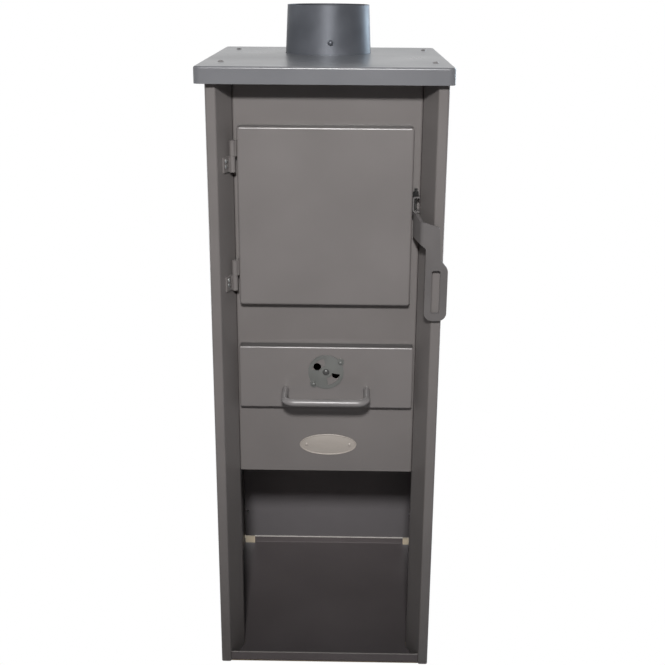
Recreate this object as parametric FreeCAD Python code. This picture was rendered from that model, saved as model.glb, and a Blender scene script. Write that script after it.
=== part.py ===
import FreeCAD, Part
import math
import os

from FreeCAD import Vector

# Upright wood stove of folded sheet steel. Millimetres, X to the right, Y to the back, Z up.
# The stove is drawn about the casing's middle and then moved, so that the origin lies on the floor
# under the middle of its whole outline.

# General allowances
weld_gap = 0.1            # between pieces that are welded or stand against each other
running_clearance = 0.05  # radial, between a turning piece and its pin
sliding_clearance = 0.3   # between faces that move past each other
overrun = 4.0             # by which a cut passes beyond what it cuts
tolerance = 1e-6

# Casing
casing_width = 300.0
casing_depth = 330.0
casing_height = 852.0
casing_sheet = 1.5
casing_bend = 1.5         # inside radius of the folds
post_width = 13.0         # flat front edge of each side panel
return_inset = 16.0       # sideways run of the slanted return behind that edge
return_depth = 38.0       # run of the slanted return towards the back
lip_depth = 12.0          # straight lip behind the return, which holds the front panel
rear_flange = 16.0
top_flange = 30.0
back_panel_margin = 3.0
back_panel_lap = 0.7      # over the floor tray's rear lip
casing_screw_radius = 4.0
casing_screw_head = 2.2
casing_screw_shank = 2.0
casing_screw_length = 5.0
back_screw_rows = 3
back_screw_margin = 60.0

# Top plate, a shallow pan turned upside down
top_sheet = 2.0
top_height = 21.0
top_left_overhang = 12.0
top_right_overhang = 5.8
top_end_overhang = 13.0
top_corner = 8.0
top_bend = 2.6
top_screw_inset = 14.0    # from the casing's side
top_screw_front = 57.0    # from the casing's front
top_screw_rear = 49.0     # from the casing's back

# Front panel in two sheets, which meet behind the drawer and leave its opening between them
panel_sheet = 2.0
panel_bend = 1.0
panel_top_gap = 3.0
panel_below_drawer = 103.0
panel_flange = 11.0
doorway_inset = 17.0      # from the door's edges
doorway_corner = 2.0
drawer_opening_inset = 4.0  # inside the firebox's sides
drawer_opening_rise = 6.5   # above the drawer's bottom
drawer_opening_drop = 7.0   # below the drawer's top

# Wood store, whose floor is a shallow tray
rail_height = 15.0
rail_set_back = 2.0       # of the tray's front rail behind the posts' front faces
tray_rear_lip = 13.0
tray_side_lip = 12.0
floor_gap = 0.4           # beside the slanted returns
tray_notch_width = 18.0   # of the rear lip's cut-out corners
tray_notch_depth = 5.0

# Flue collar, a slightly tapered spigot
collar_base_radius = 60.5  # outside, where it leaves the top plate
collar_top_radius = 57.6
collar_rise = 66.0         # above the top plate
collar_wall = 2.0
collar_flange_width = 13.5
collar_flange_thickness = 3.0
collar_from_back = 98.9
collar_hole_clearance = 0.4
collar_screw_rise = 16.5
collar_screw_offset = 4.0
collar_screw_length = 6.0

# Firebox of thicker plate, its lining, grate and baffle
shell_side_gap = 18.0      # inside the returns' lips
shell_sheet = 2.5
shell_bend = 2.5
shell_back_gap = 30.0
shell_below_drawer = 6.5
shell_top_gap = 26.0       # below the casing's top
firebox_top_sheet = 2.5
outlet_margin = 3.0        # of the smoke outlet inside the collar's bore
ash_floor_rise = 5.5       # above the drawer's bottom
ash_floor_flange = 10.0
grate_rise = 20.0          # of its frame above the drawer's top
grate_frame_sheet = 3.0
grate_frame_flange = 12.0
grate_side_gap = 10.4      # to the side bricks
grate_rear_gap = 9.4       # to the rear brick
grate_thickness = 14.0
grate_corner = 8.0
grate_seat = 10.0          # width of the ledge under the grate's edge
grate_from_panel = 38.0
grate_rim = 14.0           # solid margin around the slots
grate_rib = 10.0           # solid rib between the two columns of slots
slot_rows = 10
slot_width = 8.0
brick_thickness = 20.0
smoke_space = 93.0         # above the bricks
brick_chamfer = 2.0
brick_joint = 1.0
baffle_sheet = 4.0
baffle_leg = 22.0
baffle_leg_sheet = 3.0
baffle_over_bricks = 0.5
baffle_front_gap = 75.0    # smoke passage between the baffle and the front panel
baffle_side_gap = 2.0

# Door, a pan with a rope seal and a raised liner
door_left_margin = 6.7     # inside the left return's lip
door_right_margin = 11.0
door_drop = 74.5           # below the casing's top
door_height = 235.0
door_proud = 18.0          # of the door's face in front of the panel
door_sheet = 2.0
door_corner = 4.0
door_bend = 3.0
door_panel_gap = 2.0
liner_from_face = 8.0
liner_clearance = 6.0      # inside the doorway
liner_short = 1.0          # by which it stops in front of the panel
liner_corner = 8.0
liner_bend = 4.0
liner_sheet = 1.5
gasket_from_edge = 9.0     # from the door's edge to the rope's middle
gasket_corner = 12.0

# Hinges, two lift-off pairs on one upright axis
hinge_gap = 5.7            # from the door's left edge to the axis
hinge_set_back = 23.0      # of the axis behind the posts' front faces
upper_hinge_drop = 38.5    # of the split between its knuckles below the door's top
lower_hinge_rise = 39.5    # of the split above the door's bottom
knuckle_radius = 3.8
knuckle_height = 20.0
hinge_pin_radius = 2.0
hinge_pin_in_door = 16.0
hinge_leaf_sheet = 2.0
hinge_leaf_bend = 0.5
hinge_leaf_on_body = 14.0
hinge_leaf_on_door = 11.0
hinge_screw_radius = 3.2
hinge_screw_head = 1.8
hinge_screw_shank = 1.6
hinge_screw_length = 4.5
hinge_screw_from_axis = 8.0
hinge_screw_drop = 5.0     # of the upper one below the split
hinge_screw_spacing = 7.0

# Latch: a bent plate lever that turns about an upright bolt beside the door
latch_drop = 88.0          # of the bracket's top below the door's top
latch_bracket_height = 20.5
latch_bracket_sheet = 1.8
latch_bracket_bend = 1.5
latch_bracket_reach = 9.0
latch_bracket_depth = 14.0
latch_pivot_gap = 4.0      # from the door's right edge to the bolt's axis
latch_pivot_from_panel = 11.0
latch_bolt_radius = 2.0
latch_bolt_end = 10.0      # above the bracket
latch_nut_flats = 7.0
latch_nut_height = 5.5
latch_head_height = 3.5
lever_plate = 4.0
lever_bend = 2.0
lever_proud = 10.0         # of the lever's face in front of the posts
lever_bend_gap = 9.5       # from the door's edge to the bend
lever_web_lean = 8.0       # by which the web nears the door as it runs back
lever_web_rear_gap = 5.2   # from the bolt's axis to the web's rear edge
lever_tab = 3.0
lever_tab_radius = 3.6
lever_tab_run = 8.0        # of the tab along the web
lever_length = 136.2
lever_arm_inset = 7.0      # of the arm's inner edge beyond the bend
lever_arm_taper = 3.0      # by which the arm widens towards the loop
lever_loop_width = 29.0
lever_loop_height = 69.5
lever_shoulder_inset = 9.5
lever_shoulder_rise = 12.0
lever_neck_drop = 5.7      # below the tab's top
lever_neck_fall = 6.5      # of its upper edge towards the arm
lever_neck_depth = 29.0
lever_neck_slope = 5.0
lever_loop_corner = 11.0
lever_neck_corner = 4.0
lever_edge_corner = 1.0
lever_slot_stile = 8.5     # solid strip on the slot's inner side
lever_slot_rim = 9.5       # on its outer side
lever_slot_sill = 10.5
lever_slot_drop = 2.0      # of its top below the shoulder
lever_slot_corner = 2.5
nose_gap = 1.4             # from the door's edge to the nose's side
nose_width = 2.5
nose_barb = 3.2
nose_barb_gap = 1.2        # behind the front panel
nose_barb_length = 3.0
latch_slot_reach = 3.9     # to the right of the bolt's axis
latch_slot_clearance = 1.0

# Ash drawer
drawer_side_gap = 3.75     # inside the returns' lips
drawer_below_door = 59.5
drawer_height = 88.5
drawer_proud = 15.5
drawer_sheet = 1.5
drawer_corner = 3.0
drawer_bend = 2.5
drawer_panel_gap = 1.5
ash_pan_side_gap = 2.0     # in the drawer opening
ash_pan_headroom = 13.4
ash_pan_rear_gap = 23.3
ash_pan_sheet = 1.2
ash_pan_dip = 38.0         # lowered middle of its front wall, which lets the air in
ash_pan_dip_width = 66.0
runner_width = 16.0
runner_thickness = 2.2
runner_from_side = 4.0
handle_spacing = 110.0
handle_height = 26.5       # above the drawer front's bottom
handle_leg = 44.4
handle_rod_radius = 4.6
handle_bend_radius = 14.0
handle_screw_radius = 2.0
handle_screw_depth = 10.0
handle_screw_head_radius = 4.0
handle_screw_head = 2.5

# Air disc on the drawer front
disc_rise = 53.0           # of its middle above the drawer front's bottom
disc_radius = 24.0
disc_sheet = 1.5
disc_window_inner = 8.2
disc_window_outer = 19.3
disc_window_angle = 134.0  # degrees, of the window's middle
disc_window_half = 36.0    # degrees
air_hole_radius = 5.3
air_hole_circle = 13.8     # radius of the circle that the air holes lie on
air_hole_angles = (150.0, 342.0)  # degrees
disc_ear_radius = 5.0
disc_peg_circle = 24.0
disc_peg_angles = (36.0, 226.0)  # degrees
disc_peg_radius = 3.2
disc_peg_height = 3.0
disc_peg_shank = 1.5
disc_rivet_radius = 2.5
disc_rivet_head_radius = 4.5
disc_rivet_head = 2.2
disc_rivet_tail = 1.0

# Oval nameplate, left plain
nameplate_centre = 3.0
nameplate_rise = 40.5      # of its middle above the panel's bottom
nameplate_length = 79.5
nameplate_width = 32.0
nameplate_sheet = 1.2
nameplate_rim = 2.2
nameplate_recess = 0.4
nameplate_rivet_spacing = 60.0
nameplate_rivet_radius = 2.6
nameplate_rivet_head = 1.2
nameplate_rivet_shank = 1.5
nameplate_rivet_length = 4.0

# Worked-out places
right = Vector(1, 0, 0)
rearward = Vector(0, 1, 0)
upward = Vector(0, 0, 1)
half_width = casing_width / 2
handle_front = handle_leg + handle_rod_radius + drawer_proud - return_depth
front = (handle_front - casing_depth - top_end_overhang) / 2
back = front + casing_depth
panel_front = front + return_depth
panel_back = panel_front + panel_sheet
lip_end = panel_front + lip_depth
inner_half = half_width - post_width - return_inset
panel_half = inner_half - weld_gap
wall_half = half_width - casing_sheet - weld_gap
back_panel_face = back - 2 * casing_sheet - weld_gap
rear_limit = back_panel_face - weld_gap
top_of_stove = casing_height + top_sheet
outline_middle = (top_right_overhang - top_left_overhang) / 2
door_left = door_left_margin - inner_half
door_right = inner_half - door_right_margin
door_top = casing_height - door_drop
door_bottom = door_top - door_height
drawer_width = 2 * (inner_half - drawer_side_gap)
drawer_top = door_bottom - drawer_below_door
drawer_bottom = drawer_top - drawer_height
panel_top = casing_height - panel_top_gap
panel_bottom = drawer_bottom - panel_below_drawer
nameplate_height = panel_bottom + nameplate_rise
back_panel_bottom = tray_rear_lip - back_panel_lap
collar_foot = Vector(outline_middle, back - collar_from_back, 0)
collar_flange_radius = collar_base_radius + collar_flange_width
collar_slope = (collar_base_radius - collar_top_radius) / collar_rise
shell_top = casing_height - shell_top_gap
shell_bottom = drawer_bottom - shell_below_drawer
firebox_top_bottom = shell_top + weld_gap
collar_bottom = firebox_top_bottom + firebox_top_sheet + weld_gap
shell_half = inner_half - shell_side_gap
shell_front = panel_back + weld_gap
shell_back = back - shell_back_gap
chamber_half = shell_half - shell_sheet - weld_gap
chamber_back = shell_back - shell_sheet - weld_gap
shelf_back = chamber_back - shell_bend
drawer_opening_width = 2 * (shell_half - drawer_opening_inset)
drawer_opening_bottom = drawer_bottom + drawer_opening_rise
drawer_opening_top = drawer_top - drawer_opening_drop
ash_floor_top = drawer_bottom + ash_floor_rise
grate_frame_top = drawer_top + grate_rise
grate_width = 2 * (chamber_half - brick_thickness - grate_side_gap)
grate_length = chamber_back - brick_thickness - grate_rear_gap - panel_back - grate_from_panel
door_face = panel_front - door_proud
doorway_left = door_left + doorway_inset
doorway_right = door_right - doorway_inset
doorway_bottom = door_bottom + doorway_inset
doorway_top = door_top - doorway_inset
liner_front = door_face + liner_from_face
gasket_radius = (door_proud - sliding_clearance - liner_from_face - liner_sheet) / 2
hinge_x = door_left - hinge_gap
hinge_y = front + hinge_set_back
upper_hinge_split = door_top - upper_hinge_drop
lower_hinge_split = door_bottom + lower_hinge_rise
hinge_splits = (upper_hinge_split, lower_hinge_split)
latch_bracket_top = door_top - latch_drop
latch_bracket_bottom = latch_bracket_top - latch_bracket_height
latch_x = door_right + latch_pivot_gap
latch_y = panel_front - latch_pivot_from_panel
tab_top = latch_bracket_bottom - sliding_clearance
tab_bottom = tab_top - lever_tab
lever_face = front - lever_proud
lever_bend_x = door_right + lever_bend_gap
lever_arm_inner = lever_bend_x + lever_arm_inset
lever_loop_outer = lever_arm_inner + lever_loop_width
lever_arm_heel = lever_loop_outer - lever_shoulder_inset
lever_arm_outer = lever_arm_heel - lever_arm_taper
lever_bottom = tab_top - lever_length
lever_loop_shoulder = lever_bottom + lever_loop_height
lever_neck_top = tab_top - lever_neck_drop
lever_neck_end = lever_neck_top - lever_neck_fall
lever_neck_bottom = lever_neck_top - lever_neck_depth
drawer_face = panel_front - drawer_proud
drawer_rear = panel_front - drawer_panel_gap
ash_pan_bottom = ash_floor_top + weld_gap + runner_thickness + sliding_clearance
ash_pan_front = drawer_face + drawer_sheet + weld_gap
ash_pan_width = drawer_opening_width - 2 * ash_pan_side_gap
ash_pan_depth = chamber_back - ash_pan_rear_gap - ash_pan_front
ash_pan_top = drawer_opening_top - ash_pan_headroom
handle_z = drawer_bottom + handle_height
disc_z = drawer_bottom + disc_rise
disc_back = drawer_face - sliding_clearance
brick_bottom = grate_frame_top + weld_gap
brick_front = panel_back + brick_joint
brick_height = shell_top - smoke_space - brick_bottom
baffle_seat = brick_bottom + brick_height + baffle_over_bricks


# Basic forms

def slab(low, high):
    size = high - low
    return Part.makeBox(size.x, size.y, size.z, low)


def rod(base, direction, radius, length):
    return Part.makeCylinder(radius, length, base, direction)


def corner_arc(before, corner, after, radius):
    """First, middle and last point of the arc that rounds a corner."""
    to_before = (before - corner).normalize()
    to_after = (after - corner).normalize()
    half_angle = to_before.getAngle(to_after) / 2
    setback = radius / math.tan(half_angle)
    bisector = (to_before + to_after).normalize()
    middle = corner + bisector * (radius / math.sin(half_angle) - radius)
    return corner + to_before * setback, middle, corner + to_after * setback


def rounded_edges(points, radii):
    """Straight runs through the points, with an arc at each inner point."""
    edges = []
    start = points[0]
    for before, corner, after, radius in zip(points, points[1:], points[2:], radii):
        first, middle, last = corner_arc(before, corner, after, radius)
        edges.append(Part.makeLine(start, first))
        edges.append(Part.Arc(first, middle, last).toShape())
        start = last
    edges.append(Part.makeLine(start, points[-1]))
    return edges


def rounded_wire(points, radii):
    """A closed outline whose corners have the given radii."""
    seam = (points[-1] + points[0]) / 2
    return Part.Wire(rounded_edges([seam] + points + [seam], radii))


def plain_face(points):
    return Part.Face(Part.makePolygon(points + [points[0]]))


def folded_sheet(points, thickness, inner_radius, lift):
    """A bent sheet: the points lie on one face, and a positive thickness lies to their left."""
    axis = Vector(lift).normalize()
    runs = [(after - before).normalize() for before, after in zip(points, points[1:])]
    normals = [axis.cross(run) for run in runs]
    outer_radius = inner_radius + abs(thickness)
    far = [points[0] + normals[0] * thickness]
    near_radii = []
    far_radii = []
    for corner, first, second in zip(points[1:], normals, normals[1:]):
        far.append(corner + (first + second) * (thickness / (1 + first.dot(second))))
        inside = axis.dot(first.cross(second)) * thickness > 0
        near_radii.append(outer_radius if inside else inner_radius)
        far_radii.append(inner_radius if inside else outer_radius)
    far.append(points[-1] + normals[-1] * thickness)
    edges = rounded_edges(points, near_radii)
    edges.append(Part.makeLine(points[-1], far[-1]))
    edges += rounded_edges(far[::-1], far_radii[::-1])
    edges.append(Part.makeLine(far[0], points[0]))
    return Part.Face(Part.Wire(edges)).extrude(lift)


def rounded_block(width, length, height, corner, bend):
    """A block on z = 0 with rounded upright edges and a rounded upper rim."""
    block = Part.makeBox(width, length, height, Vector(-width / 2, -length / 2, 0))
    upright = [edge for edge in block.Edges if edge.BoundBox.ZLength > height / 2]
    block = block.makeFillet(corner, upright)
    rim = [edge for edge in block.Edges if edge.BoundBox.ZMin > height - tolerance]
    return block.makeFillet(bend, rim)


def pan(width, length, height, sheet, corner, bend):
    """A pan turned upside down: a flat top with a flange all round, open below."""
    outer = rounded_block(width, length, height, corner, bend)
    inner = rounded_block(
        width - 2 * sheet, length - 2 * sheet, height - sheet, corner - sheet, bend - sheet)
    return outer.cut(inner)


def stood_up(shape, open_middle, quarter_turn):
    """Turns a pan a quarter turn about X and puts the middle of its open side at a point."""
    turned = shape.copy()
    turned.Placement = FreeCAD.Placement(open_middle, FreeCAD.Rotation(right, quarter_turn))
    return turned


def facing_front(shape, open_middle):
    return stood_up(shape, open_middle, 90)


def facing_back(shape, open_middle):
    return stood_up(shape, open_middle, -90)


def upright_rectangle(low_x, high_x, low_z, high_z, y):
    return [Vector(low_x, y, low_z), Vector(high_x, y, low_z),
            Vector(high_x, y, high_z), Vector(low_x, y, high_z)]


def window(low_x, high_x, low_z, high_z, corner, first_y, last_y):
    """A prism along Y with rounded corners, for a plate or an opening in an upright sheet."""
    points = upright_rectangle(low_x, high_x, low_z, high_z, first_y)
    return Part.Face(rounded_wire(points, [corner] * len(points))).extrude(rearward * (last_y - first_y))


def domed_screw(seat, outward, head_radius, head_height, shank_radius, shank_length):
    """A fastener with a domed head, seated on a face and reaching in against its outward normal."""
    dome_radius = (head_radius ** 2 + head_height ** 2) / (2 * head_height)
    dome_turn = math.asin(head_radius / dome_radius) / 2
    dome_middle = Vector(dome_radius * math.sin(dome_turn), 0,
                         head_height - dome_radius * (1 - math.cos(dome_turn)))
    edges = [
        Part.makeLine(Vector(0, 0, -shank_length), Vector(shank_radius, 0, -shank_length)),
        Part.makeLine(Vector(shank_radius, 0, -shank_length), Vector(shank_radius, 0, 0)),
        Part.makeLine(Vector(shank_radius, 0, 0), Vector(head_radius, 0, 0)),
        Part.Arc(Vector(head_radius, 0, 0), dome_middle, Vector(0, 0, head_height)).toShape(),
        Part.makeLine(Vector(0, 0, head_height), Vector(0, 0, -shank_length)),
    ]
    screw = Part.Face(Part.Wire(edges)).revolve(Vector(0, 0, 0), upward, 360)
    screw.Placement = FreeCAD.Placement(seat, FreeCAD.Rotation(upward, outward))
    return screw


def hexagon(middle, flats, height):
    """An upright hexagonal prism, from the middle of its lower face."""
    radius = flats / math.sqrt(3)
    corners = [middle + Vector(radius * math.cos(math.radians(angle)),
                               radius * math.sin(math.radians(angle)), 0)
               for angle in range(30, 390, 60)]
    return plain_face(corners).extrude(upward * height)


def mirrored(shape):
    return shape.mirror(Vector(0, 0, 0), right)


# Casing

def top_screw_seats():
    x = half_width - top_screw_inset
    depths = (front + top_screw_front, back - top_screw_rear)
    return [Vector(side * x, y, top_of_stove) for side in (-1, 1) for y in depths]


def back_screw_seats():
    x = half_width - rear_flange / 2
    step = (casing_height - 2 * back_screw_margin) / (back_screw_rows - 1)
    heights = [back_screw_margin + row * step for row in range(back_screw_rows)]
    return [Vector(side * x, back, z) for side in (-1, 1) for z in heights]


def screw_holes(seats, outward, shank_radius, length):
    radius = shank_radius + weld_gap
    return [rod(seat - outward * length, outward, radius, length + overrun) for seat in seats]


def casing_holes(seats, outward):
    return screw_holes(seats, outward, casing_screw_shank, casing_screw_length)


def casing_screws(seats, outward):
    return Part.makeCompound([
        domed_screw(seat, outward, casing_screw_radius, casing_screw_head,
                    casing_screw_shank, casing_screw_length) for seat in seats])


def side_panel_right():
    points = [Vector(half_width - rear_flange, back, 0), Vector(half_width, back, 0),
              Vector(half_width, front, 0), Vector(half_width - post_width, front, 0),
              Vector(inner_half, panel_front, 0), Vector(inner_half, lip_end, 0)]
    wall = folded_sheet(points, -casing_sheet, casing_bend, upward * casing_height)
    flange = slab(
        Vector(half_width - top_flange, lip_end, casing_height - casing_sheet),
        Vector(half_width - casing_sheet, back - casing_sheet, casing_height))
    panel = wall.fuse(flange).removeSplitter()
    heel = slab(
        Vector(half_width - rear_flange - overrun, back - casing_sheet - casing_bend, -overrun),
        Vector(half_width + overrun, back + overrun, back_panel_bottom))
    holes = casing_holes(top_screw_seats(), upward) + casing_holes(back_screw_seats(), rearward)
    return panel.cut([heel] + holes)


def side_panel_left():
    holes = screw_holes(hinge_screw_seats(), return_normal, hinge_screw_shank, hinge_screw_length)
    return mirrored(side_panel_right()).cut(holes)


def back_panel():
    panel_edge = half_width - casing_sheet - casing_bend - weld_gap
    panel = slab(
        Vector(-panel_edge, back_panel_face, back_panel_bottom),
        Vector(panel_edge, back_panel_face + casing_sheet, casing_height - back_panel_margin))
    return panel.cut(casing_holes(back_screw_seats(), rearward))


def top_plate():
    plate = pan(casing_width + top_left_overhang + top_right_overhang, casing_depth + 2 * top_end_overhang,
                top_height, top_sheet, top_corner, top_bend)
    plate.translate(Vector(outline_middle, (front + back) / 2, top_of_stove - top_height))
    hole_radius = collar_base_radius + collar_slope * top_sheet + collar_hole_clearance
    hole = rod(collar_foot + upward * (casing_height - overrun), upward, hole_radius,
               top_sheet + 2 * overrun)
    return plate.cut(casing_holes(top_screw_seats(), upward) + [hole])


def front_sheet(bottom, top):
    """A sheet between the posts, with a flange folded back along each side."""
    flange_end = panel_front + panel_flange
    points = [Vector(-panel_half, flange_end, bottom), Vector(-panel_half, panel_front, bottom),
              Vector(panel_half, panel_front, bottom), Vector(panel_half, flange_end, bottom)]
    return folded_sheet(points, panel_sheet, panel_bend, upward * (top - bottom))


def upper_front_panel():
    first_y = panel_front - overrun
    last_y = panel_back + overrun
    doorway = window(doorway_left, doorway_right, doorway_bottom, doorway_top,
                     doorway_corner, first_y, last_y)
    slot_left = door_right + nose_gap - nose_barb - sliding_clearance
    latch_slot = slab(
        Vector(slot_left, first_y, tab_bottom - latch_slot_clearance),
        Vector(latch_x + latch_slot_reach, last_y, tab_top + latch_slot_clearance))
    return front_sheet(drawer_opening_top, panel_top).cut([doorway, latch_slot])


def lower_front_panel():
    sheet = front_sheet(panel_bottom, drawer_opening_top - weld_gap)
    hem = slab(
        Vector(panel_sheet - panel_half, panel_front + panel_sheet, panel_bottom),
        Vector(panel_half - panel_sheet, panel_front + panel_flange, panel_bottom + panel_sheet))
    drawer_opening = slab(
        Vector(-drawer_opening_width / 2, panel_front - overrun, drawer_opening_bottom),
        Vector(drawer_opening_width / 2, panel_back + overrun, drawer_opening_top + overrun))
    rivet_holes = screw_holes(nameplate_rivet_seats(), -rearward, nameplate_rivet_shank,
                              nameplate_rivet_length)
    return sheet.fuse(hem).removeSplitter().cut([drawer_opening] + rivet_holes)


# Wood store

def tray_outline(front_half, front_y):
    """Plan of the tray, which reaches forward between the returns and fills the casing behind them."""
    neck_half = inner_half - floor_gap
    notch_half = wall_half - tray_notch_width
    side = [Vector(front_half, front_y, 0), Vector(neck_half, panel_front, 0),
            Vector(neck_half, lip_end + floor_gap, 0), Vector(wall_half, lip_end + floor_gap, 0),
            Vector(wall_half, rear_limit - tray_notch_depth, 0),
            Vector(notch_half, rear_limit - tray_notch_depth, 0), Vector(notch_half, rear_limit, 0)]
    return side + [Vector(-point.x, point.y, 0) for point in reversed(side)]


def floor_plate():
    rail_front = front + rail_set_back
    rail_half = half_width - post_width - floor_gap - return_inset * rail_set_back / return_depth
    section = [Vector(-wall_half, rail_front, rail_height), Vector(-wall_half, rail_front, 0),
               Vector(-wall_half, rear_limit, 0), Vector(-wall_half, rear_limit, tray_rear_lip)]
    sheet = folded_sheet(section, casing_sheet, casing_bend, right * (2 * wall_half))
    tray = sheet.common(plain_face(tray_outline(rail_half, rail_front)).extrude(upward * rail_height))
    side_lip = slab(Vector(wall_half - casing_sheet, lip_end + floor_gap, 0),
                    Vector(wall_half, rear_limit - tray_notch_depth, tray_side_lip))
    return tray.fuse([side_lip, mirrored(side_lip)]).removeSplitter()


def store_ceiling():
    front_half = panel_half - panel_sheet - weld_gap
    front_y = panel_back + panel_bend
    seat = panel_bottom + panel_sheet + weld_gap
    side = [Vector(front_half, front_y, seat), Vector(front_half, lip_end + floor_gap, seat),
            Vector(wall_half, lip_end + floor_gap, seat), Vector(wall_half, rear_limit, seat)]
    outline = side + [Vector(-point.x, point.y, seat) for point in reversed(side)]
    return plain_face(outline).extrude(upward * casing_sheet)


# Flue collar

def collar_radius(height):
    return collar_base_radius + collar_slope * (top_of_stove - height)


def collar_screw_seat():
    radius = collar_radius(top_of_stove + collar_screw_rise - casing_screw_radius) + weld_gap
    outward = Vector(collar_screw_offset, -math.sqrt(radius ** 2 - collar_screw_offset ** 2), 0)
    seat = collar_foot + upward * (top_of_stove + collar_screw_rise) + outward
    return seat, outward.normalize()


def flue_collar():
    flange_top = collar_bottom + collar_flange_thickness
    rim = top_of_stove + collar_rise
    profile = [Vector(collar_radius(collar_bottom) - collar_wall, 0, collar_bottom),
               Vector(collar_flange_radius, 0, collar_bottom),
               Vector(collar_flange_radius, 0, flange_top),
               Vector(collar_radius(flange_top), 0, flange_top),
               Vector(collar_top_radius, 0, rim), Vector(collar_top_radius - collar_wall, 0, rim)]
    collar = plain_face(profile).revolve(Vector(0, 0, 0), upward, 360)
    collar.translate(collar_foot)
    seat, outward = collar_screw_seat()
    return collar.cut(screw_holes([seat], outward, casing_screw_shank, collar_screw_length))


def collar_screw():
    seat, outward = collar_screw_seat()
    return domed_screw(seat, outward, casing_screw_radius, casing_screw_head,
                       casing_screw_shank, collar_screw_length)


# Firebox

def firebox_shell():
    points = [Vector(-shell_half, shell_front, shell_bottom), Vector(-shell_half, shell_back, shell_bottom),
              Vector(shell_half, shell_back, shell_bottom), Vector(shell_half, shell_front, shell_bottom)]
    return folded_sheet(points, -shell_sheet, shell_bend, upward * (shell_top - shell_bottom))


def firebox_top():
    plate = slab(Vector(-shell_half, shell_front, firebox_top_bottom),
                 Vector(shell_half, shell_back, firebox_top_bottom + firebox_top_sheet))
    outlet_radius = collar_radius(collar_bottom) - collar_wall - outlet_margin
    outlet = rod(collar_foot + upward * (shell_top - overrun), upward, outlet_radius,
                 firebox_top_sheet + 2 * overrun)
    return plate.cut(outlet)


def flanged_shelf(top, sheet, flange):
    """A plate across the firebox with a flange turned down along each side wall."""
    section = [Vector(-chamber_half, shell_front, top - flange), Vector(-chamber_half, shell_front, top),
               Vector(chamber_half, shell_front, top), Vector(chamber_half, shell_front, top - flange)]
    return folded_sheet(section, sheet, sheet, rearward * (shelf_back - shell_front))


def ash_chamber_floor():
    return flanged_shelf(ash_floor_top, shell_sheet, ash_floor_flange)


def drawer_runner_right():
    outer = ash_pan_width / 2 - runner_from_side
    seat = ash_floor_top + weld_gap
    return slab(Vector(outer - runner_width, shell_front, seat),
                Vector(outer, shelf_back, seat + runner_thickness))


def grate_outline(inset, z):
    """Plan of the grate, drawn in by an inset."""
    half = grate_width / 2 - inset
    first_y = panel_back + grate_from_panel + inset
    last_y = panel_back + grate_from_panel + grate_length - inset
    return [Vector(-half, first_y, z), Vector(half, first_y, z),
            Vector(half, last_y, z), Vector(-half, last_y, z)]


def grate_frame():
    shelf = flanged_shelf(grate_frame_top, grate_frame_sheet, grate_frame_flange)
    outline = grate_outline(grate_seat, grate_frame_top - grate_frame_sheet - overrun)
    hole = plain_face(outline).extrude(upward * (grate_frame_sheet + 2 * overrun))
    return shelf.cut(hole)


def grate():
    seat = grate_frame_top + weld_gap
    outline = grate_outline(0, seat)
    plate = Part.Face(rounded_wire(outline, [grate_corner] * len(outline))).extrude(upward * grate_thickness)
    first_y = panel_back + grate_from_panel + grate_rim
    pitch = (grate_length - 2 * grate_rim - slot_width) / (slot_rows - 1)
    slots = []
    for row in range(slot_rows):
        low_y = first_y + row * pitch
        for side in (-1, 1):
            ends = sorted((side * grate_rib / 2, side * (grate_width / 2 - grate_rim)))
            slots.append(slab(Vector(ends[0], low_y, seat - overrun),
                              Vector(ends[1], low_y + slot_width, seat + grate_thickness + overrun)))
    return plate.cut(slots)


def brick(low, high):
    block = slab(low, high)
    return block.makeChamfer(brick_chamfer, block.Edges)


def side_brick(place):
    """A lining brick of the right wall: place 0 is next to the door, place 1 at the rear."""
    length = (chamber_back - brick_front - brick_joint) / 2
    first_y = brick_front + place * (length + brick_joint)
    return brick(Vector(chamber_half - brick_thickness, first_y, brick_bottom),
                 Vector(chamber_half, first_y + length, brick_bottom + brick_height))


def firebrick_rear():
    half = chamber_half - brick_thickness - brick_joint
    return brick(Vector(-half, chamber_back - brick_thickness, brick_bottom),
                 Vector(half, chamber_back, brick_bottom + brick_height))


def baffle_support_right():
    section = [Vector(chamber_half, brick_front, baffle_seat + baffle_leg),
               Vector(chamber_half, brick_front, baffle_seat),
               Vector(chamber_half - baffle_leg, brick_front, baffle_seat)]
    return folded_sheet(section, baffle_leg_sheet, baffle_leg_sheet, rearward * (shelf_back - brick_front))


def baffle_plate():
    half = chamber_half - 2 * baffle_leg_sheet - baffle_side_gap
    seat = baffle_seat + baffle_leg_sheet + weld_gap
    return slab(Vector(-half, panel_back + baffle_front_gap, seat),
                Vector(half, chamber_back, seat + baffle_sheet))


# Door

def door_middle(y):
    return Vector((door_left + door_right) / 2, y, (door_bottom + door_top) / 2)


def door_pan():
    shell = pan(door_right - door_left, door_top - door_bottom, door_proud - door_panel_gap,
                door_sheet, door_corner, door_bend)
    return facing_front(shell, door_middle(panel_front - door_panel_gap))


def door_liner():
    inset = door_sheet + weld_gap
    plate = window(door_left + inset, door_right - inset, door_bottom + inset, door_top - inset,
                   door_corner, liner_front, liner_front + liner_sheet)
    width = doorway_right - doorway_left - 2 * liner_clearance
    height = doorway_top - doorway_bottom - 2 * liner_clearance
    depth = door_proud - liner_from_face - liner_short
    middle = door_middle(liner_front)
    raised = facing_back(pan(width, height, depth, liner_sheet, liner_corner, liner_bend), middle)
    core = facing_back(rounded_block(width, height, depth, liner_corner, liner_bend), middle)
    return plate.cut(core).fuse(raised).removeSplitter()


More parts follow.
